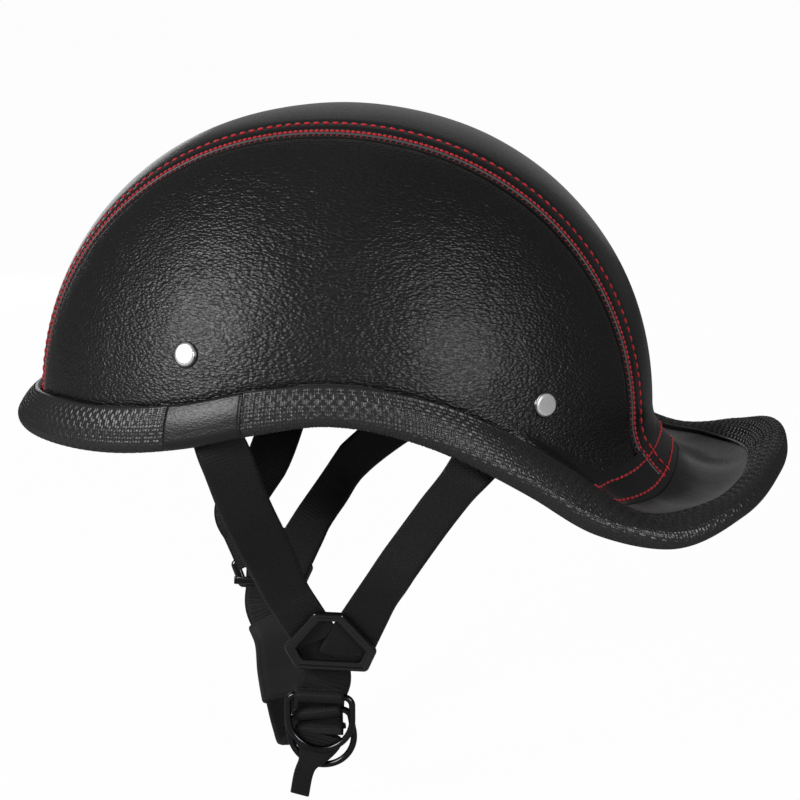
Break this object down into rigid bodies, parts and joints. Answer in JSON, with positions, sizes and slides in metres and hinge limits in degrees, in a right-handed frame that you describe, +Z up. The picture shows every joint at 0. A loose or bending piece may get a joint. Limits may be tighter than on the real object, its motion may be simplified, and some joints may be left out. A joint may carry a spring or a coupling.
{
  "type": "half shell motorcycle helmet",
  "caption": "Half shell helmet with leather panels, a long upturned ducktail brim, edge binding, padded liner and a D-ring chin harness with strap dividers.",
  "frame": {"origin": "centre of the dome at the height where it is longest and widest", "axes": "+Z up, -X towards the brow, +X towards the ducktail brim, -Y the wearer's left"},
  "size_m": [0.3575, 0.233, 0.3168],
  "materials": {
    "shell_plastic": "matte black moulding",
    "smooth_leather": "smooth semi-gloss black leather",
    "grained_leather": "pebbled black leather",
    "lining_fabric": "black felt lining",
    "embossed_binding": "black edge binding with a woven emboss",
    "plain_binding": "plain black leather",
    "webbing": "ribbed black nylon webbing",
    "sleeve_fabric": "padded black fabric",
    "rivet_chrome": "bright chrome",
    "washer_steel": "plain steel",
    "liner_foam": "expanded foam",
    "pad_fabric": "quilted black lining fabric",
    "divider_plastic": "glossy black plastic",
    "ring_steel": "dark plated steel wire"
  },
  "bodies": {
    "helmet": {"hard_shell": "shell_plastic", "crown_panel": "smooth_leather", "left_side_panel": "grained_leather", "right_side_panel": "grained_leather", "rear_band": "smooth_leather", "brim_cover": "smooth_leather", "brim_underside": "lining_fabric", "front_trim": "embossed_binding", "rear_trim": "embossed_binding", "left_trim_patch": "plain_binding", "right_trim_patch": "plain_binding", "left_front_strap": "webbing", "left_rear_strap": "webbing", "right_front_strap": "webbing", "right_rear_strap": "webbing", "left_ring_strap": "webbing", "chin_strap": "webbing", "strap_tail": "webbing", "chin_sleeve": "sleeve_fabric", "left_front_rivet": "rivet_chrome", "left_rear_rivet": "rivet_chrome", "right_front_rivet": "rivet_chrome", "right_rear_rivet": "rivet_chrome", "rivet_washers": "washer_steel", "foam_liner": "liner_foam", "front_pad": "pad_fabric", "rear_pad": "pad_fabric", "left_pad": "pad_fabric", "right_pad": "pad_fabric", "crown_pad": "pad_fabric"},
    "left_divider": {"left_divider": "divider_plastic"},
    "right_divider": {"right_divider": "divider_plastic"},
    "outer_ring": {"outer_d_ring": "ring_steel"},
    "inner_ring": {"inner_d_ring": "ring_steel"}
  },
  "joints": [
    {"name": "left_divider_slide", "type": "slide", "parent": "helmet", "child": "left_divider", "axis": [0, -0.2588, 0.9659], "range_m": [-0.008, 0.001]},
    {"name": "right_divider_slide", "type": "slide", "parent": "helmet", "child": "right_divider", "axis": [0, 0.2588, 0.9659], "range_m": [-0.007, 0.001]},
    {"name": "outer_ring_swing", "type": "hinge", "parent": "helmet", "child": "outer_ring", "pos_m": [-0.0045, -0.0516, -0.1272], "axis": [-1, 0, 0], "range_deg": [0, 60]},
    {"name": "inner_ring_swing", "type": "hinge", "parent": "helmet", "child": "inner_ring", "pos_m": [-0.0065, -0.0464, -0.1374], "axis": [0.9848, 0, 0.1736], "range_deg": [0, 8]}
  ]
}
